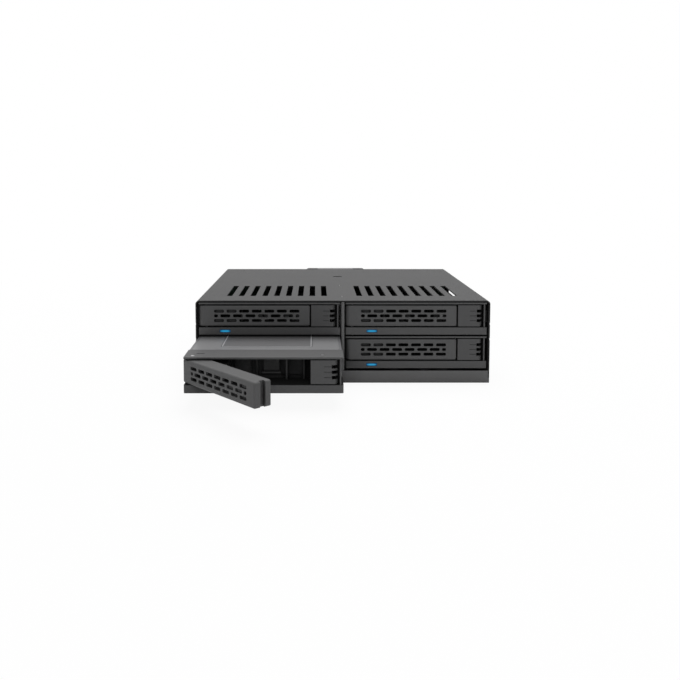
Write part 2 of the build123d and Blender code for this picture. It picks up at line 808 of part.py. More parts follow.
def button_plan(inset, depth, left_depth):
    """Outline of the button from above: flat front, end rolled round the pivot."""
    pu = button_pivot_u
    pv = button_pivot_depth
    radius = button_end_radius - inset
    front = inset
    left = button_left + inset
    start = (pu + sqrt(radius ** 2 - (pv - front) ** 2), front)
    end_y = depth
    end = (pu + sqrt(radius ** 2 - (end_y - pv) ** 2), end_y)
    middle = (pu + radius * cos(radians(20)), pv - radius * sin(radians(20)))
    edges = [Line((left, front), start), ThreePointArc(start, middle, end), Line(end, (left + 3, end_y)),
             Line((left + 3, end_y), (left, left_depth)), Line((left, left_depth), (left, front))]
    return make_face(edges)


def release_button():
    """Rocker that frees the lever: hollow cap with grip notches over its rolled end."""
    height = face_top - face_bottom
    solid = Pos(0, 0, face_bottom) * extrude(button_plan(0, button_depth, button_left_depth), amount=height)
    cavity_plan = button_plan(button_wall, button_depth + 3, button_left_depth + 3)
    cavity = Pos(0, 0, face_bottom + button_wall) * extrude(cavity_plan, amount=height - 2 * button_wall)
    boss = rod_z(button_pivot_u, button_pivot_depth, face_bottom, face_top, 1.9)
    stem = block(button_pivot_u - 0.5, button_pivot_u + 0.5, 0.5, button_pivot_depth, face_bottom, face_top)
    bore = rod_z(button_pivot_u, button_pivot_depth, 0, tray_height, button_pin_diameter / 2 + pin_clearance)
    end_u = button_pivot_u + button_end_radius
    notches = []
    for i in range(notch_count):
        w = face_middle + (i - (notch_count - 1) / 2) * notch_pitch
        notches.append(block(end_u - notch_length, end_u + 1, -1, notch_depth,
                             w - notch_height / 2, w + notch_height / 2))
    return solid - cavity + boss + stem - (notches + [bore])


def lever_pin():
    """Steel pin between the light bar and the top flange."""
    low = bar_height - pin_seat
    return rod_z(lever_pivot_u, lever_pivot_depth, low, tray_height, lever_pin_diameter / 2)


def button_pin():
    """Steel pin that the release button rocks on."""
    low = bar_height - pin_seat
    return rod_z(button_pivot_u, button_pivot_depth, low, tray_height, button_pin_diameter / 2)


def button_spring():
    """Bent leaf that stands on the partition and pushes the button's end forward."""
    back = front_depth - partition_thickness
    w0 = face_middle - spring_height / 2
    t = spring_thickness
    root = button_left + spring_root_inset
    bend = root + spring_flat
    tip = button_pivot_u + spring_run
    tip_y = button_wall + spring_tip_gap
    outline = Polyline(
        (root, back), (root, back - t), (bend, back - t), (tip, tip_y + 5 * t), (tip - 4 * t, tip_y),
        (tip - 2.4 * t, tip_y - 0.7 * t), (tip + t, tip_y + 4.6 * t), (bend + t, back), close=True)
    return Pos(0, 0, w0) * extrude(make_face(outline), amount=spring_height)


def drive_housing():
    """Lower shell of the drive, with its rear notch and screw holes."""
    half = drive_width / 2
    w0 = floor_thickness
    w1 = floor_thickness + drive_height
    body = block(-half, half, drive_front, drive_back, w0, w1)
    body = fillet(body.edges().filter_by(Axis.Z), 1.5)
    inset = drive_cover_inset
    recess = block(-half + inset, half - inset, drive_front + inset, drive_back - inset,
                   w1 - drive_cover_thickness, w1 + 1)
    notch_half = drive_notch_width / 2
    u = connector_offset
    notch = block(u - notch_half, u + notch_half, drive_back - drive_notch_depth, drive_back + 1,
                  connector_w - drive_notch_height / 2, connector_w + drive_notch_height / 2)
    holes = [rod_z(x, y, w0 - 1, w0 + drive_hole_depth, screw_radius) for x, y in drive_holes()]
    side_holes = []
    for x, y in drive_holes():
        reach = sorted((x / abs(x) * (half - 2.5), x / abs(x) * (half + 1)))
        side_holes.append(rod_x(y, w0 + drive_screw_reach, *reach, screw_radius))
    return body - ([recess, notch] + holes + side_holes)


def drive_cover():
    """Plate that closes the top of the drive."""
    half = drive_width / 2 - drive_cover_inset
    w1 = floor_thickness + drive_height
    plate = block(-half, half, drive_front + drive_cover_inset, drive_back - drive_cover_inset,
                  w1 - drive_cover_thickness, w1)
    return fillet(plate.edges().filter_by(Axis.Z), 1.0)


def drive_connector():
    """Contact tongue in the drive's rear notch."""
    half = tongue_width / 2
    u = connector_offset
    back = drive_back - drive_notch_depth
    return block(u - half, u + half, back, drive_back - tongue_recess,
                 connector_w - tongue_thickness / 2, connector_w + tongue_thickness / 2)


def drive_screw(x, y):
    """Flat screw through the tray's floor into the drive."""
    w = screw_head_height + screw_head_seat
    head = rod_z(x, y, screw_head_seat, w, screw_head_radius)
    return head + rod_z(x, y, w, floor_thickness + drive_screw_reach, screw_radius)


os.makedirs("parts", exist_ok=True)

save("top_cover", top_cover())
save("base_plate", base_plate())
save("center_divider", center_divider())
save("cover_screws", *[cover_screw(y, side) for side in (-1, 1) for y in cover_screw_ys()])
save("backplane_board", backplane_board())
save("board_components", *board_components())
save("drive_sockets", *[drive_socket(x + connector_offset, z + connector_w) for x, z in bays.values()])
ports = port_places()
save("data_ports", *[rear_port(x, z, width) for x, z, width, kind in ports if kind == "data"])
save("power_ports", *[rear_port(x, z, width) for x, z, width, kind in ports if kind == "power"])
save("status_lights", *[status_light(x + window_u, z) for x, z in bays.values()])
save("board_standoffs", *[standoff(x, z) for x, z in standoff_places()])
save("board_screws", *[board_screw(x, z) for x, z in standoff_places()])
save("fan_housing", fan_housing())
save("fan_rotor", fan_rotor())
save("fan_screws", *[fan_screw(x, z) for x, z in fan_corners()])

for bay in bays:
    save(f"tray_{bay}", in_bay(tray(), bay))
    save(f"light_pipe_{bay}", in_bay(light_pipe(), bay))
    save(f"lever_pin_{bay}", in_bay(lever_pin(), bay))
    save(f"release_button_{bay}", in_bay(release_button(), bay))
    save(f"button_pin_{bay}", in_bay(button_pin(), bay))
    save(f"button_spring_{bay}", in_bay(button_spring(), bay))
    handle = lever()
    if bay == "lower_left":
        hinge_line = Pos(lever_pivot_u, lever_pivot_depth, 0)
        handle = hinge_line * Rot(0, 0, -lever_open_rest) * hinge_line.inverse() * handle
    save(f"lever_{bay}", in_bay(handle, bay))

save("drive_housing", in_bay(drive_housing(), "lower_left"))
save("drive_cover", in_bay(drive_cover(), "lower_left"))
save("drive_connector", in_bay(drive_connector(), "lower_left"))
save("drive_screws", *[in_bay(drive_screw(x, y), "lower_left") for x, y in drive_holes()])
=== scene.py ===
"""Looks of the hot swap drive cage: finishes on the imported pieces, small fittings, studio and camera."""
import bmesh
import bpy
import math
from mathutils import Matrix, Vector


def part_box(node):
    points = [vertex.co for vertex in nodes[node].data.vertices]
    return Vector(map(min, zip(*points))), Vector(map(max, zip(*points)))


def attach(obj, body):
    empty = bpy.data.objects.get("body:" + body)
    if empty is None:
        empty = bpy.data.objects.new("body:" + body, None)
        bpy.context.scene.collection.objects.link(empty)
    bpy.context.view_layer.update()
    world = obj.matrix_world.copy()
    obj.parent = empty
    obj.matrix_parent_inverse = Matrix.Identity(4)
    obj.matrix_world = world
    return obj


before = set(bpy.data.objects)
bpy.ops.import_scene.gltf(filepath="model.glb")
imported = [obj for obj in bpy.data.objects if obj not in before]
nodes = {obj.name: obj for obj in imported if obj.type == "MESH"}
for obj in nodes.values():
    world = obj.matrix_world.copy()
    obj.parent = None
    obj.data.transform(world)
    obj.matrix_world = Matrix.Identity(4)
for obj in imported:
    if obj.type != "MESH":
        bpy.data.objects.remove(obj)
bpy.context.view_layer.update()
bays = ("upper_left", "upper_right", "lower_left", "lower_right")

# Top cover, base plate and divider.
# Folded steel with a black powder coat: a fine orange peel, dull, rubbed paler along its edges.


def shader_group(name, inputs, outputs):
    """An empty shader node group with named sockets, and its input and output nodes."""
    tree = bpy.data.node_groups.new(name, "ShaderNodeTree")
    for socket, kind, value in inputs:
        item = tree.interface.new_socket(socket, in_out="INPUT", socket_type=kind)
        if value is not None:
            item.default_value = value
    for socket, kind in outputs:
        tree.interface.new_socket(socket, in_out="OUTPUT", socket_type=kind)
    return tree, tree.nodes.new("NodeGroupInput"), tree.nodes.new("NodeGroupOutput")


def math_node(tree, operation, first, second=None, clamp=False):
    """A Math node fed by two sockets or numbers; returns its value."""
    node = tree.nodes.new("ShaderNodeMath")
    node.operation = operation
    node.use_clamp = clamp
    for socket, value in zip(node.inputs, (first, second)):
        if value is None:
            continue
        if isinstance(value, (int, float)):
            socket.default_value = value
        else:
            tree.links.new(value, socket)
    return node.outputs[0]


def noise_node(tree, vector, scale, detail, roughness=0.5):
    """A Noise Texture on that vector; scale is a number or a socket. Returns its factor."""
    node = tree.nodes.new("ShaderNodeTexNoise")
    node.inputs["Detail"].default_value = detail
    node.inputs["Roughness"].default_value = roughness
    tree.links.new(vector, node.inputs["Vector"])
    if isinstance(scale, (int, float)):
        node.inputs["Scale"].default_value = scale
    else:
        tree.links.new(scale, node.inputs["Scale"])
    return node.outputs["Fac"]


def make_surface_grain():
    """Group: fine moulded or sprayed texture. Size is one bump's width in metres."""
    coarse_ratio = 0.12
    coarse_share = 0.6
    broad_scale = 38.0
    broad_share = 0.6
    tree, source, sink = shader_group(
        "surface_grain",
        [("Vector", "NodeSocketVector", None), ("Size", "NodeSocketFloat", 0.0005)],
        [("Height", "NodeSocketFloat"), ("Mottle", "NodeSocketFloat")])
    vector = source.outputs["Vector"]
    scale = math_node(tree, "DIVIDE", 1.0, source.outputs["Size"])
    fine = noise_node(tree, vector, scale, 3.0, 0.6)
    coarse = noise_node(tree, vector, math_node(tree, "MULTIPLY", scale, coarse_ratio), 2.0)
    height = math_node(tree, "ADD", fine, math_node(tree, "MULTIPLY", coarse, coarse_share))
    broad = noise_node(tree, vector, broad_scale, 4.0, 0.62)
    broad = math_node(tree, "MULTIPLY", broad, broad_share)
    mottle = math_node(tree, "ADD", broad, math_node(tree, "MULTIPLY", fine, 1.0 - broad_share))
    tree.links.new(height, sink.inputs["Height"])
    tree.links.new(mottle, sink.inputs["Mottle"])
    return tree


def make_edge_wear():
    """Group: mask of the outer edges, broken up as rubbing leaves it. Width is in metres."""
    edge_gain = 6.0
    patch_scale = 420.0
    patch_floor = 0.35
    patch_gain = 3.0
    tree, source, sink = shader_group(
        "edge_wear",
        [("Vector", "NodeSocketVector", None), ("Width", "NodeSocketFloat", 0.0004),
         ("Amount", "NodeSocketFloat", 0.5)],
        [("Mask", "NodeSocketFloat"), ("Rounded Normal", "NodeSocketVector")])
    bevel = tree.nodes.new("ShaderNodeBevel")
    bevel.samples = 6
    tree.links.new(source.outputs["Width"], bevel.inputs["Radius"])
    geometry = tree.nodes.new("ShaderNodeNewGeometry")
    dot = tree.nodes.new("ShaderNodeVectorMath")
    dot.operation = "DOT_PRODUCT"
    tree.links.new(bevel.outputs["Normal"], dot.inputs[0])
    tree.links.new(geometry.outputs["Normal"], dot.inputs[1])
    turn = math_node(tree, "SUBTRACT", 1.0, dot.outputs["Value"])
    sharp = math_node(tree, "MULTIPLY", turn, edge_gain, clamp=True)
    patch = noise_node(tree, source.outputs["Vector"], patch_scale, 3.0, 0.7)
    broken = math_node(tree, "SUBTRACT", patch, patch_floor, clamp=True)
    broken = math_node(tree, "MULTIPLY", broken, patch_gain, clamp=True)
    mask = math_node(tree, "MULTIPLY", sharp, broken)
    mask = math_node(tree, "MULTIPLY", mask, source.outputs["Amount"], clamp=True)
    tree.links.new(mask, sink.inputs["Mask"])
    tree.links.new(bevel.outputs["Normal"], sink.inputs["Rounded Normal"])
    return tree


def upward_share(tree):
    """How far a face looks up: 0 on walls and undersides, 1 on a level top."""
    geometry = tree.nodes.new("ShaderNodeNewGeometry")
    split = tree.nodes.new("ShaderNodeSeparateXYZ")
    tree.links.new(geometry.outputs["Normal"], split.inputs[0])
    return math_node(tree, "MULTIPLY", split.outputs["Z"], 1.0, clamp=True)


def make_recess_shade():
    """Group: how open a place is to the room, 0 deep in a slot and 1 on a free face. Reach is in metres.
    A floor under a slotted roof needs a wider view of the room than a wall does before it counts as open."""
    # The finishes paint shade by this mask: the lower it is, the darker the colour.
    closed_view = 0.24
    opening_gain = 2.5
    tree, source, sink = shader_group(
        "recess_shade",
        [("Reach", "NodeSocketFloat", 0.016), ("Depth", "NodeSocketFloat", 0.8),
         ("Roof", "NodeSocketFloat", 0.14)],
        [("Openness", "NodeSocketFloat")])
    occlusion = tree.nodes.new("ShaderNodeAmbientOcclusion")
    occlusion.samples = 8
    tree.links.new(source.outputs["Reach"], occlusion.inputs["Distance"])
    closed = math_node(tree, "MULTIPLY", upward_share(tree), source.outputs["Roof"])
    closed = math_node(tree, "ADD", closed, closed_view)
    free = math_node(tree, "SUBTRACT", occlusion.outputs["AO"], closed, clamp=True)
    free = math_node(tree, "MULTIPLY", free, opening_gain, clamp=True)
    hidden = math_node(tree, "SUBTRACT", 1.0, free)
    hidden = math_node(tree, "MULTIPLY", hidden, source.outputs["Depth"])
    openness = math_node(tree, "SUBTRACT", 1.0, hidden, clamp=True)
    tree.links.new(openness, sink.inputs["Openness"])
    return tree


def make_front_face_shade():
    """Group: mask of the faces that look to the front, which on folded sheet are its cut edges; the finish
    darkens them as painted shade.
    """
    front_facing = -0.9
    tree, source, sink = shader_group(
        "front_face_shade", [("Amount", "NodeSocketFloat", 0.8)], [("Mask", "NodeSocketFloat")])
    geometry = tree.nodes.new("ShaderNodeNewGeometry")
    split = tree.nodes.new("ShaderNodeSeparateXYZ")
    tree.links.new(geometry.outputs["True Normal"], split.inputs[0])
    forward = math_node(tree, "LESS_THAN", split.outputs["Y"], front_facing)
    tree.links.new(math_node(tree, "MULTIPLY", forward, source.outputs["Amount"]), sink.inputs["Mask"])
    return tree


def make_dust_film():
    """Group: mask of the thin dust that settles on faces that look up."""
    patch_scale = 60.0
    patch_share = 0.5
    speck_scale = 1500.0
    speck_floor = 0.62
    speck_gain = 6.0
    tree, source, sink = shader_group(
        "dust_film",
        [("Vector", "NodeSocketVector", None), ("Amount", "NodeSocketFloat", 0.3)],
        [("Mask", "NodeSocketFloat")])
    patch = noise_node(tree, source.outputs["Vector"], patch_scale, 5.0, 0.65)
    speck = noise_node(tree, source.outputs["Vector"], speck_scale, 1.0)
    specks = math_node(tree, "SUBTRACT", speck, speck_floor, clamp=True)
    specks = math_node(tree, "MULTIPLY", specks, speck_gain, clamp=True)
    film = math_node(tree, "ADD", math_node(tree, "MULTIPLY", patch, patch_share), specks)
    mask = math_node(tree, "MULTIPLY", film, upward_share(tree))
    mask = math_node(tree, "MULTIPLY", mask, source.outputs["Amount"], clamp=True)
    tree.links.new(mask, sink.inputs["Mask"])
    return tree


surface_grain = make_surface_grain()
edge_wear = make_edge_wear()
recess_shade = make_recess_shade()
front_face_shade = make_front_face_shade()
dust_film = make_dust_film()


def place_group(tree, group, vector, **values):
    """A node of that group, fed by the vector, with its own values."""
    node = tree.nodes.new("ShaderNodeGroup")
    node.node_tree = group
    if vector is not None:
        tree.links.new(vector, node.inputs["Vector"])
    for name, value in values.items():
        node.inputs[name].default_value = value
    return node


def mix_colors(tree, factor, first, second):
    """A Mix node between two colours or sockets; returns its colour."""
    node = tree.nodes.new("ShaderNodeMix")
    node.data_type = "RGBA"
    tree.links.new(factor, node.inputs["Factor"])
    for socket, value in zip([s for s in node.inputs if s.type == "RGBA"], (first, second)):
        if isinstance(value, tuple):
            socket.default_value = (*value, 1.0)
        else:
            tree.links.new(value, socket)
    return [s for s in node.outputs if s.type == "RGBA"][0]


def range_node(tree, value, low, high):
    """Maps 0..1 to low..high."""
    node = tree.nodes.new("ShaderNodeMapRange")
    tree.links.new(value, node.inputs["Value"])
    node.inputs["To Min"].default_value = low
    node.inputs["To Max"].default_value = high
    return node.outputs["Result"]


def new_finish(name):
    """An empty material, with its node tree and its Principled shader."""
    material = bpy.data.materials.new(name)
    material.use_nodes = True
    return material, material.node_tree, material.node_tree.nodes["Principled BSDF"]


def press_relief(tree, shader, height, strength, depth):
    """Feeds the height into the shader's normal, so that it catches the light. Returns the Bump node."""
    relief = tree.nodes.new("ShaderNodeBump")
    relief.inputs["Strength"].default_value = strength
    relief.inputs["Distance"].default_value = depth
    tree.links.new(height, relief.inputs["Height"])
    tree.links.new(relief.outputs["Normal"], shader.inputs["Normal"])
    return relief


def dull_finish(name, color, rough, grain, bump, wear=0.4, wear_width=0.0003, dust=0.25, specular=0.5,
                recess=0.9, reach=0.016, roof=0.14, front_shade_amount=0.0):
    """Dull sprayed or moulded surface: grain, mottled tone, paler worn edges, painted shade in slots and
    recesses, painted shade on faces that look to the front where asked, and a little dust.
    """
    dust_color = (0.22, 0.21, 0.2)
    front_shade_color = (0.006, 0.006, 0.006)
    painted_shade_color = (0.004, 0.004, 0.004)
    mottle_dark = 0.86
    mottle_light = 1.16
    wear_gain = 2.2
    wear_lift = 0.02
    smoother = 0.07
    rougher = 0.09
    grain_depth = 0.0001
    material, tree, shader = new_finish(name)
    place = tree.nodes.new("ShaderNodeTexCoord").outputs["Object"]
    grains = place_group(tree, surface_grain, place, Size=grain)
    edges = place_group(tree, edge_wear, place, Width=wear_width, Amount=wear)
    dusty = place_group(tree, dust_film, place, Amount=dust)
    dark = tuple(c * mottle_dark for c in color)
    light = tuple(c * mottle_light for c in color)
    worn = tuple(min(1.0, c * wear_gain + wear_lift) for c in color)
    tone = mix_colors(tree, grains.outputs["Mottle"], dark, light)
    tone = mix_colors(tree, edges.outputs["Mask"], tone, worn)
    tone = mix_colors(tree, dusty.outputs["Mask"], tone, dust_color)
    # Painted shade: faces that look to the front are darkened towards near black.
    if front_shade_amount:
        front = place_group(tree, front_face_shade, None, Amount=front_shade_amount)
        tone = mix_colors(tree, front.outputs["Mask"], tone, front_shade_color)
    # Painted shade: closed-in places, deep in slots and recesses, are darkened towards near black.
    shade = place_group(tree, recess_shade, None, Depth=recess, Reach=reach, Roof=roof)
    tone = mix_colors(tree, shade.outputs["Openness"], painted_shade_color, tone)
    tree.links.new(tone, shader.inputs["Base Color"])
    polish = range_node(tree, grains.outputs["Mottle"], rough - smoother, rough + rougher)
    hidden = math_node(tree, "SUBTRACT", 1.0, shade.outputs["Openness"])
    tree.links.new(math_node(tree, "MAXIMUM", polish, hidden), shader.inputs["Roughness"])
    shader.inputs["Specular IOR Level"].default_value = specular
    relief = press_relief(tree, shader, grains.outputs["Height"], bump, grain_depth)
    tree.links.new(edges.outputs["Rounded Normal"], relief.inputs["Normal"])
    return material


def dress(node, material):
    """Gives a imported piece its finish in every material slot."""
    mesh = nodes[node].data
    if not mesh.materials:
        mesh.materials.append(material)
    for i in range(len(mesh.materials)):
        mesh.materials[i] = material


# The cover's faces that look to the front carry painted shade.
cover_coat = dull_finish("cover_coat", (0.058, 0.058, 0.059), 0.66, 0.00045, 0.6, wear=0.25, dust=0.08,
                         specular=0.2, front_shade_amount=0.85)
plate_coat = dull_finish("plate_coat", (0.118, 0.118, 0.119), 0.6, 0.00045, 0.6, wear=0.25, dust=0.1,
                         specular=0.3)
divider_coat = dull_finish("divider_coat", (0.14, 0.14, 0.141), 0.6, 0.00045, 0.6, wear=0.25, dust=0.1,
                           specular=0.3, recess=0.3)
dress("top_cover", cover_coat)
dress("base_plate", plate_coat)
dress("center_divider", divider_coat)

# Trays.
# Moulded in black ABS with a fine spark-eroded texture, a touch smoother than the powder coat.

# Strong painted shade darkens the trays' insides, most on floors under a roof.
tray_plastic = dull_finish("tray_plastic", (0.082, 0.082, 0.083), 0.5, 0.0003, 0.35, wear=0.3, dust=0.1,
                           specular=0.16, recess=0.93, reach=0.03, roof=0.36)
for bay in bays:
    dress(f"tray_{bay}", tray_plastic)

# Levers and release buttons.
# Moulded like the trays, in the same black, and handled more: their edges are rubbed smooth.

lever_plastic = dull_finish("lever_plastic", (0.08, 0.08, 0.081), 0.5, 0.0003, 0.35, wear=0.12,
                            wear_width=0.00015, dust=0.08, specular=0.22)
button_plastic = dull_finish("button_plastic", (0.072, 0.072, 0.073), 0.54, 0.0003, 0.3, wear=0.2,
                             wear_width=0.0002, dust=0.08, specular=0.22)
for bay in bays:
    dress(f"lever_{bay}", lever_plastic)
    dress(f"release_button_{bay}", button_plastic)

# Grip grooves on the release buttons.
# Three fine grooves on each button's face, one into each notch.
# The shadow in a groove is a dark sliver that lies in the face and stands a hair proud of it.


def bevelled_bars(name, bars, bevel, body, material):
    """One mesh of bars, each (low corner, high corner) in metres, with bevelled edges; rides on the body."""
    shape = bmesh.new()
    for low, high in bars:
        low, high = Vector(low), Vector(high)
        size = Matrix.Diagonal((*(high - low), 1.0))
        made = bmesh.ops.create_cube(shape, size=1.0, matrix=Matrix.Translation((low + high) / 2) @ size)
        edges = {edge for vert in made["verts"] for edge in vert.link_edges}
        bmesh.ops.bevel(shape, geom=list(edges), offset=bevel, segments=2, profile=0.5, affect="EDGES")
    add_piece(name, shape, body, material)


def add_piece(name, shape, body, material):
    """Puts the built shape into the scene as a piece that rides on the body."""
    mesh = bpy.data.meshes.new(name)
    shape.to_mesh(mesh)
    shape.free()
    mesh.materials.append(material)
    piece = bpy.data.objects.new(name, mesh)
    bpy.context.scene.collection.objects.link(piece)
    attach(piece, body)


groove_length = 0.0033
groove_height = 0.0003
groove_depth = 0.0001
groove_proud = 0.00003
groove_bevel = 0.00002
groove_step = 0.0024
groove_from_end = 0.0035
groove_shadow = dull_finish("groove_shadow", (0.022, 0.022, 0.023), 0.6, 0.0003, 0.2, wear=0.0, dust=0.0,
                            specular=0.2)
for bay in bays:
    low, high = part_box(f"release_button_{bay}")
    right = high.x - groove_from_end
    middle = (low.z + high.z) / 2
    grooves = []
    for step in (-1, 0, 1):
        z = middle + step * groove_step
        grooves.append(((right - groove_length, low.y - groove_proud, z - groove_height / 2),
                        (right, low.y + groove_depth, z + groove_height / 2)))
    bevelled_bars(f"grip_grooves_{bay}", grooves, groove_bevel, f"button_{bay}",
                  groove_shadow)

# Pins, leaf springs, standoffs and screws.
# Turned or rolled steel, with fine marks along the cut.


def steel_finish(name, color, rough, stretch):
    """Drawn or turned metal: fine lines, closest along the axis with the largest stretch."""
    line_scale = 900.0
    line_dark = 0.8
    smoother = 0.08
    rougher = 0.12
    line_strength = 0.2
    line_depth = 0.00004
    material, tree, shader = new_finish(name)
    place = tree.nodes.new("ShaderNodeTexCoord").outputs["Object"]
    mapping = tree.nodes.new("ShaderNodeMapping")
    mapping.inputs["Scale"].default_value = stretch
    tree.links.new(place, mapping.inputs["Vector"])
    lines = noise_node(tree, mapping.outputs["Vector"], line_scale, 3.0)
    tone = mix_colors(tree, lines, tuple(c * line_dark for c in color), color)
    tree.links.new(tone, shader.inputs["Base Color"])
    tree.links.new(range_node(tree, lines, rough - smoother, rough + rougher), shader.inputs["Roughness"])
    shader.inputs["Metallic"].default_value = 1.0
    press_relief(tree, shader, lines, line_strength, line_depth)
    return material


pin_steel = steel_finish("pin_steel", (0.56, 0.56, 0.57), 0.3, (1, 1, 8))
screw_steel = steel_finish("screw_steel", (0.4, 0.4, 0.41), 0.38, (6, 1, 1))
for bay in bays:
    dress(f"lever_pin_{bay}", pin_steel)
    dress(f"button_pin_{bay}", pin_steel)
    dress(f"button_spring_{bay}", pin_steel)
dress("board_standoffs", pin_steel)
for name in ("board_screws", "fan_screws", "drive_screws", "cover_screws"):
    dress(name, screw_steel)

# Cross recesses of the screws.
# Each screw is driven by a cross punched into its head; the cross is drawn as a dark slab a hair proud of
# the head, painted shade in place of the recess.


def screw_boxes(node):
    """Lowest and highest corner of each screw in a node."""
    screws_apart = 0.02
    groups = []
    for vert in nodes[node].data.vertices:
        for group in groups:
            if (group[0] - vert.co).length < screws_apart:
                group.append(vert.co)
                break
        else:
            groups.append([vert.co])
    return [(Vector([min(c[i] for c in group) for i in range(3)]),
             Vector([max(c[i] for c in group) for i in range(3)])) for group in groups]


def punched_cross(shape, middle, outward, reach, arm, proud):
    """A cross with tapered arms on a screw head, its face a hair outside the head's."""
    root_share = 0.6
    tip_share = 0.35
    face_share = 0.97
    side = Vector((0, 0, 1)).cross(outward) if abs(outward.z) < 0.5 else Vector((1, 0, 0))
    up = outward.cross(side)
    corners = []
    for turn in range(4):
        angle = math.radians(90 * turn)
        along = side * math.cos(angle) + up * math.sin(angle)
        across = outward.cross(along)
        corners.append(along * arm * root_share - across * arm * root_share)
        corners.append(along * reach - across * arm * tip_share)
        corners.append(along * reach + across * arm * tip_share)
    bottom = [shape.verts.new(middle + c - outward * proud) for c in corners]
    top = [shape.verts.new(middle + c * face_share + outward * proud) for c in corners]
    shape.faces.new(top)
    for i in range(len(corners)):
        j = (i + 1) % len(corners)
        shape.faces.new((bottom[i], bottom[j], top[j], top[i]))


cross_proud = 0.00002

# Node, body, axis of the head, reach of an arm and width of an arm.
cross_kinds = (
    ("board_screws", "cage", 1, 0.0016, 0.0006),
    ("fan_screws", "cage", 1, 0.0016, 0.0006),
    ("cover_screws", "cage", 0, 0.0012, 0.00045),
    ("drive_screws", "tray_lower_left", 2, 0.0016, 0.0006),
)
# Painted shade: the crosses' dark colour stands for the shade in the recesses.
cross_shade_steel = steel_finish("cross_shade_steel", (0.06, 0.06, 0.062), 0.55, (1, 1, 1))
for node, body, axis, reach, arm in cross_kinds:
    shape = bmesh.new()
    for low, high in screw_boxes(node):
        middle = (low + high) / 2
        outward = Vector((0, 0, 0))
        if axis == 0:
            outward.x = 1 if middle.x > 0 else -1
        elif axis == 1:
            outward.y = 1
        else:
            outward.z = -1
        middle[axis] = high[axis] if outward[axis] > 0 else low[axis]
        punched_cross(shape, middle, outward, reach, arm, cross_proud)
    bmesh.ops.recalc_face_normals(shape, faces=shape.faces)
    add_piece(f"{node}_crosses", shape, body, cross_shade_steel)

# Light pipes.
# Clear moulded bars, lit blue from the board: the three closed trays glow, the open one is dark.

window_thickness = 0.003
window_middle = 0.72
window_half = 0.28


def lit_window(name, glow):
    """Polished clear plastic; only its window glows, most along the middle and dim blue towards the rim."""
    cloud_scale = 700.0
    clear_dark = (0.002, 0.02, 0.05)
    clear_light = (0.003, 0.03, 0.07)
    rim_blue = (0.001, 0.055, 0.14)
    core_blue = (0.03, 0.55, 1.0)
    material, tree, shader = new_finish(name)
    texture = tree.nodes.new("ShaderNodeTexCoord")
    clouds = noise_node(tree, texture.outputs["Object"], cloud_scale, 2.0)
    place = tree.nodes.new("ShaderNodeSeparateXYZ")
    tree.links.new(texture.outputs["Object"], place.inputs[0])
    head = math_node(tree, "LESS_THAN", place.outputs["Y"], window_thickness)
    split = tree.nodes.new("ShaderNodeSeparateXYZ")
    tree.links.new(texture.outputs["Generated"], split.inputs[0])
    along = math_node(tree, "ABSOLUTE", math_node(tree, "SUBTRACT", split.outputs["X"], 0.5))
    along = math_node(tree, "POWER", math_node(tree, "MULTIPLY", along, 2.0), 4.0)
    across = math_node(tree, "ABSOLUTE", math_node(tree, "SUBTRACT", split.outputs["Z"], window_middle))
    across = math_node(tree, "MULTIPLY", across, 1.0 / window_half)
    core = math_node(tree, "SUBTRACT", 1.0, math_node(tree, "ADD", along, across), clamp=True)
    tone = mix_colors(tree, clouds, clear_dark, clear_light)
    tree.links.new(tone, shader.inputs["Base Color"])
    tree.links.new(range_node(tree, clouds, 0.12, 0.24), shader.inputs["Roughness"])
    light = mix_colors(tree, core, rim_blue, core_blue)
    tree.links.new(mix_colors(tree, head, (0.0, 0.0, 0.0), light), shader.inputs["Emission Color"])
    shader.inputs["Specular IOR Level"].default_value = 0.15
    shader.inputs["Emission Strength"].default_value = glow
    return material


pipe_lit = lit_window("light_pipe_lit", 0.62)
pipe_dark = dull_finish("light_pipe_dark", (0.05, 0.055, 0.06), 0.25, 0.0006, 0.05, wear=0.0, dust=0.05)
for bay in bays:
    dress(f"light_pipe_{bay}", pipe_dark if bay == "lower_left" else pipe_lit)

# Drive in the open tray.
# Bead-blasted aluminium shell with a plate let into its top, anodised grey.

drive_shell = dull_finish("drive_shell", (0.12, 0.12, 0.125), 0.42, 0.00025, 0.3, dust=0.1, reach=0.03)
drive_plate = dull_finish("drive_plate", (0.185, 0.185, 0.19), 0.4, 0.00025, 0.25, dust=0.1, reach=0.03)
dress("drive_housing", drive_shell)
dress("drive_cover", drive_plate)

# Label on the drive.
# A bare matt film, stuck to the cover plate, with a thin paler border printed round its edge.

label_width = 0.0429
label_length = 0.07
label_thickness = 0.00008
label_corner = 0.001
label_from_front = 0.0055
label_border = 0.0007
label_line = 0.0005
corner_steps = 4
low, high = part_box("drive_cover")
label_x = (low.x + high.x) / 2
label_y = low.y + label_from_front + label_length / 2


def label_film(name):
    """Matt grey film with a paler line a little inside its edge, measured from the label's middle."""
    border_color = (0.33, 0.33, 0.34)
    material = dull_finish(name, (0.105, 0.105, 0.108), 0.5, 0.0002, 0.12, wear=0.0, dust=0.12,
                           specular=0.3, reach=0.03)
    tree = material.node_tree
    shader = tree.nodes["Principled BSDF"]
    film = shader.inputs["Base Color"].links[0].from_socket
    split = tree.nodes.new("ShaderNodeSeparateXYZ")
    tree.links.new(tree.nodes.new("ShaderNodeTexCoord").outputs["Object"], split.inputs[0])
    inward = []
    for axis, middle, half in (("X", label_x, label_width / 2), ("Y", label_y, label_length / 2)):
        off = math_node(tree, "ABSOLUTE", math_node(tree, "SUBTRACT", split.outputs[axis], middle))
        inward.append(math_node(tree, "SUBTRACT", half - label_border, off))
    off = math_node(tree, "ABSOLUTE", math_node(tree, "MINIMUM", *inward))
    line = math_node(tree, "LESS_THAN", off, label_line / 2)
    tree.links.new(mix_colors(tree, line, film, border_color), shader.inputs["Base Color"])
    return material


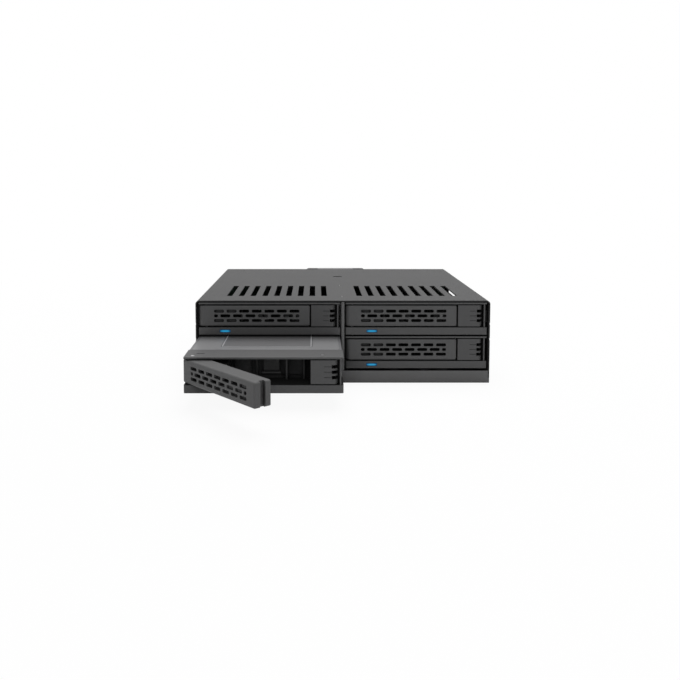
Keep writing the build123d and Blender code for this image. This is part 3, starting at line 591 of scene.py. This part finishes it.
shape = bmesh.new()
outline = []
for corner in range(4):
    sx = 1 if corner in (0, 3) else -1
    sy = 1 if corner in (0, 1) else -1
    for step in range(corner_steps + 1):
        angle = math.radians(90 * corner + 90 / corner_steps * step)
        outline.append((label_x + sx * (label_width / 2 - label_corner) + label_corner * math.cos(angle),
                        label_y + sy * (label_length / 2 - label_corner) + label_corner * math.sin(angle)))
under = [shape.verts.new((x, y, high.z)) for x, y in outline]
over = [shape.verts.new((x, y, high.z + label_thickness)) for x, y in outline]
shape.faces.new(over)
for i in range(len(outline)):
    j = (i + 1) % len(outline)
    shape.faces.new((under[i], under[j], over[j], over[i]))
add_piece("drive_label", shape, "tray_lower_left", label_film("label_film"))

# Backplane, sockets and ports.
# Green glass-fibre board under solder mask, black nylon connectors.

socket_nylon = dull_finish("socket_nylon", (0.02, 0.02, 0.022), 0.4, 0.0004, 0.2, dust=0.1)
board_mask = dull_finish("board_mask", (0.015, 0.11, 0.05), 0.25, 0.0008, 0.15, wear=0.2, dust=0.2,
                         recess=0.97, reach=0.03)
light_lens = dull_finish("light_lens", (0.6, 0.65, 0.7), 0.2, 0.0005, 0.05, wear=0.0, dust=0.0)
for name in ("drive_sockets", "data_ports", "power_ports", "drive_connector", "board_components"):
    dress(name, socket_nylon)
dress("backplane_board", board_mask)
dress("status_lights", light_lens)

# Contacts of the ports and of the drive.
# Gold-plated strips on the connector tongues, on a 1.27 mm pitch.
# A data port has 7, a power port 15, and the drive's connector has both rows in one.

contact_pitch = 0.00127
contact_width = 0.00084
contact_thickness = 0.00006
contact_bevel = 0.00003
contact_gold = steel_finish("contact_gold", (0.83, 0.6, 0.22), 0.24, (1, 12, 1))


def contact_row(x, z, count, front, back):
    """Pairs of corners for a row of strips on a tongue's upper face."""
    row = []
    for i in range(count):
        middle = x + (i - (count - 1) / 2) * contact_pitch
        row.append(((middle - contact_width / 2, front, z - contact_thickness),
                    (middle + contact_width / 2, back, z + contact_thickness)))
    return row


data_contacts = 7
power_contacts = 15
port_half_height = 0.0033
data_port_half_width = 0.0078
power_port_half_width = 0.013
tongue_half = 0.0006
contact_from_mouth = 0.0016
contact_length = 0.0048
low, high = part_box("data_ports")
power_low, power_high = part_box("power_ports")
data_port_x = high.x - data_port_half_width
power_port_x = power_high.x - power_port_half_width
lower_port_z = low.z + port_half_height
upper_port_z = high.z - port_half_height
back = high.y - contact_from_mouth
front = back - contact_length
data_rows = []
for x in (-data_port_x, data_port_x):
    for z in (lower_port_z, upper_port_z):
        data_rows += contact_row(x, z + tongue_half, data_contacts, front, back)
power_rows = []
for x in (-power_port_x, power_port_x):
    power_rows += contact_row(x, lower_port_z + tongue_half, power_contacts, front, back)
bevelled_bars("data_port_contacts", data_rows, contact_bevel, "cage", contact_gold)
bevelled_bars("power_port_contacts", power_rows, contact_bevel, "cage", contact_gold)
drive_contact_length = 0.0037
drive_contact_from_rear = 0.0003
low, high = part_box("drive_connector")
back = high.y - drive_contact_from_rear
front = back - drive_contact_length
drive_row = contact_row((low.x + high.x) / 2, high.z, data_contacts + power_contacts, front, back)
bevelled_bars("drive_contacts", drive_row, contact_bevel, "tray_lower_left", contact_gold)

# Fan.
# Glass-filled black plastic frame and rotor, slightly glossy where the mould was polished.

fan_plastic = dull_finish("fan_plastic", (0.025, 0.025, 0.027), 0.36, 0.0005, 0.25, dust=0.35)
dress("fan_housing", fan_plastic)
dress("fan_rotor", fan_plastic)

# Studio.
# A white floor that keeps the cage's shadow, a white surround, two soft lamps.

floor_size = 12.0
floor_drop = 0.00005
floor_tone = 0.9
floor_white_near = 0.93
shadow_reach = 0.16


def white_floor():
    """Matt white floor; where the camera or a gloss sees it, it is lifted towards pure white, but keeps
    a little of the cage's shadow near its middle."""
    material = bpy.data.materials.new("floor_white")
    material.use_nodes = True
    tree = material.node_tree
    tree.nodes.clear()
    matt = tree.nodes.new("ShaderNodeBsdfDiffuse")
    matt.inputs["Color"].default_value = (floor_tone, floor_tone, floor_tone, 1.0)
    glow = tree.nodes.new("ShaderNodeEmission")
    glow.inputs["Color"].default_value = (1.0, 1.0, 1.0, 1.0)
    blend = tree.nodes.new("ShaderNodeMixShader")
    path = tree.nodes.new("ShaderNodeLightPath")
    seen = math_node(tree, "MAXIMUM", path.outputs["Is Camera Ray"], path.outputs["Is Glossy Ray"])
    place = tree.nodes.new("ShaderNodeTexCoord").outputs["Object"]
    distance = tree.nodes.new("ShaderNodeVectorMath")
    distance.operation = "LENGTH"
    tree.links.new(place, distance.inputs[0])
    away = tree.nodes.new("ShaderNodeMapRange")
    away.inputs["From Min"].default_value = shadow_reach
    away.inputs["From Max"].default_value = 3 * shadow_reach
    away.inputs["To Min"].default_value = floor_white_near
    away.inputs["To Max"].default_value = 1.0
    tree.links.new(distance.outputs["Value"], away.inputs["Value"])
    tree.links.new(math_node(tree, "MULTIPLY", seen, away.outputs["Result"]), blend.inputs["Fac"])
    tree.links.new(matt.outputs[0], blend.inputs[1])
    tree.links.new(glow.outputs[0], blend.inputs[2])
    sink = tree.nodes.new("ShaderNodeOutputMaterial")
    tree.links.new(blend.outputs[0], sink.inputs["Surface"])
    return material


floor_mesh = bpy.data.meshes.new("floor")
shape = bmesh.new()
bmesh.ops.create_grid(shape, x_segments=1, y_segments=1, size=floor_size / 2)
shape.to_mesh(floor_mesh)
shape.free()
floor = bpy.data.objects.new("floor", floor_mesh)
floor.location = (0.0, 0.0, -floor_drop)
floor_mesh.materials.append(white_floor())
bpy.context.scene.collection.objects.link(floor)

fill_strength = 0.3
world = bpy.data.worlds.new("studio")
bpy.context.scene.world = world
world.use_nodes = True
sky = world.node_tree
sky.nodes.clear()
fill = sky.nodes.new("ShaderNodeBackground")
fill.inputs["Color"].default_value = (1.0, 1.0, 1.0, 1.0)
fill.inputs["Strength"].default_value = fill_strength
backdrop = sky.nodes.new("ShaderNodeBackground")
backdrop.inputs["Color"].default_value = (1.0, 1.0, 1.0, 1.0)
backdrop.inputs["Strength"].default_value = 1.0
path = sky.nodes.new("ShaderNodeLightPath")
seen = math_node(sky, "MAXIMUM", path.outputs["Is Camera Ray"], path.outputs["Is Glossy Ray"])
seen = math_node(sky, "MAXIMUM", seen, path.outputs["Is Transmission Ray"])
choice = sky.nodes.new("ShaderNodeMixShader")
sky.links.new(seen, choice.inputs["Fac"])
sky.links.new(fill.outputs[0], choice.inputs[1])
sky.links.new(backdrop.outputs[0], choice.inputs[2])
sky_sink = sky.nodes.new("ShaderNodeOutputWorld")
sky.links.new(choice.outputs[0], sky_sink.inputs["Surface"])


def softbox(name, place, aim, size, power):
    """A square soft lamp that points at the aim."""
    data = bpy.data.lights.new(name, "AREA")
    data.size = size
    data.energy = power
    lamp = bpy.data.objects.new(name, data)
    lamp.location = place
    lamp.rotation_euler = (Vector(aim) - Vector(place)).to_track_quat("-Z", "Y").to_euler()
    bpy.context.scene.collection.objects.link(lamp)


cage_middle = (0.0, 0.03, 0.02)
softbox("overhead_lamp", (0.1, 0.3, 1.1), cage_middle, 1.0, 12.0)
softbox("front_lamp", (0.0, -1.25, 0.5), cage_middle, 0.7, 3.1)

# Camera.
# It stands in front of the cage and above it, aimed a little down, where the photograph's camera stood.
# The shift puts the cage where the photograph has it in the frame.

pitch = math.radians(4.5)
focal_pixels = 785.5
frame_pixels = 680.0
sensor = 36.0
camera_place = (-0.0138, -0.385, 0.1016)
vanish_x = 315.0
vanish_y = 178.4
principal_y = vanish_y + focal_pixels * math.tan(pitch)
camera_data = bpy.data.cameras.new("camera")
camera_data.sensor_width = sensor
camera_data.lens = focal_pixels / frame_pixels * sensor
camera_data.shift_x = (frame_pixels / 2 - vanish_x) / frame_pixels
camera_data.shift_y = (principal_y - frame_pixels / 2) / frame_pixels
camera_data.clip_start = 0.01
camera_data.clip_end = 50.0
camera = bpy.data.objects.new("camera", camera_data)
camera.location = camera_place
camera.rotation_euler = (math.radians(90) - pitch, 0.0, 0.0)
bpy.context.scene.collection.objects.link(camera)
bpy.context.scene.camera = camera
bpy.context.scene.view_settings.view_transform = "Standard"
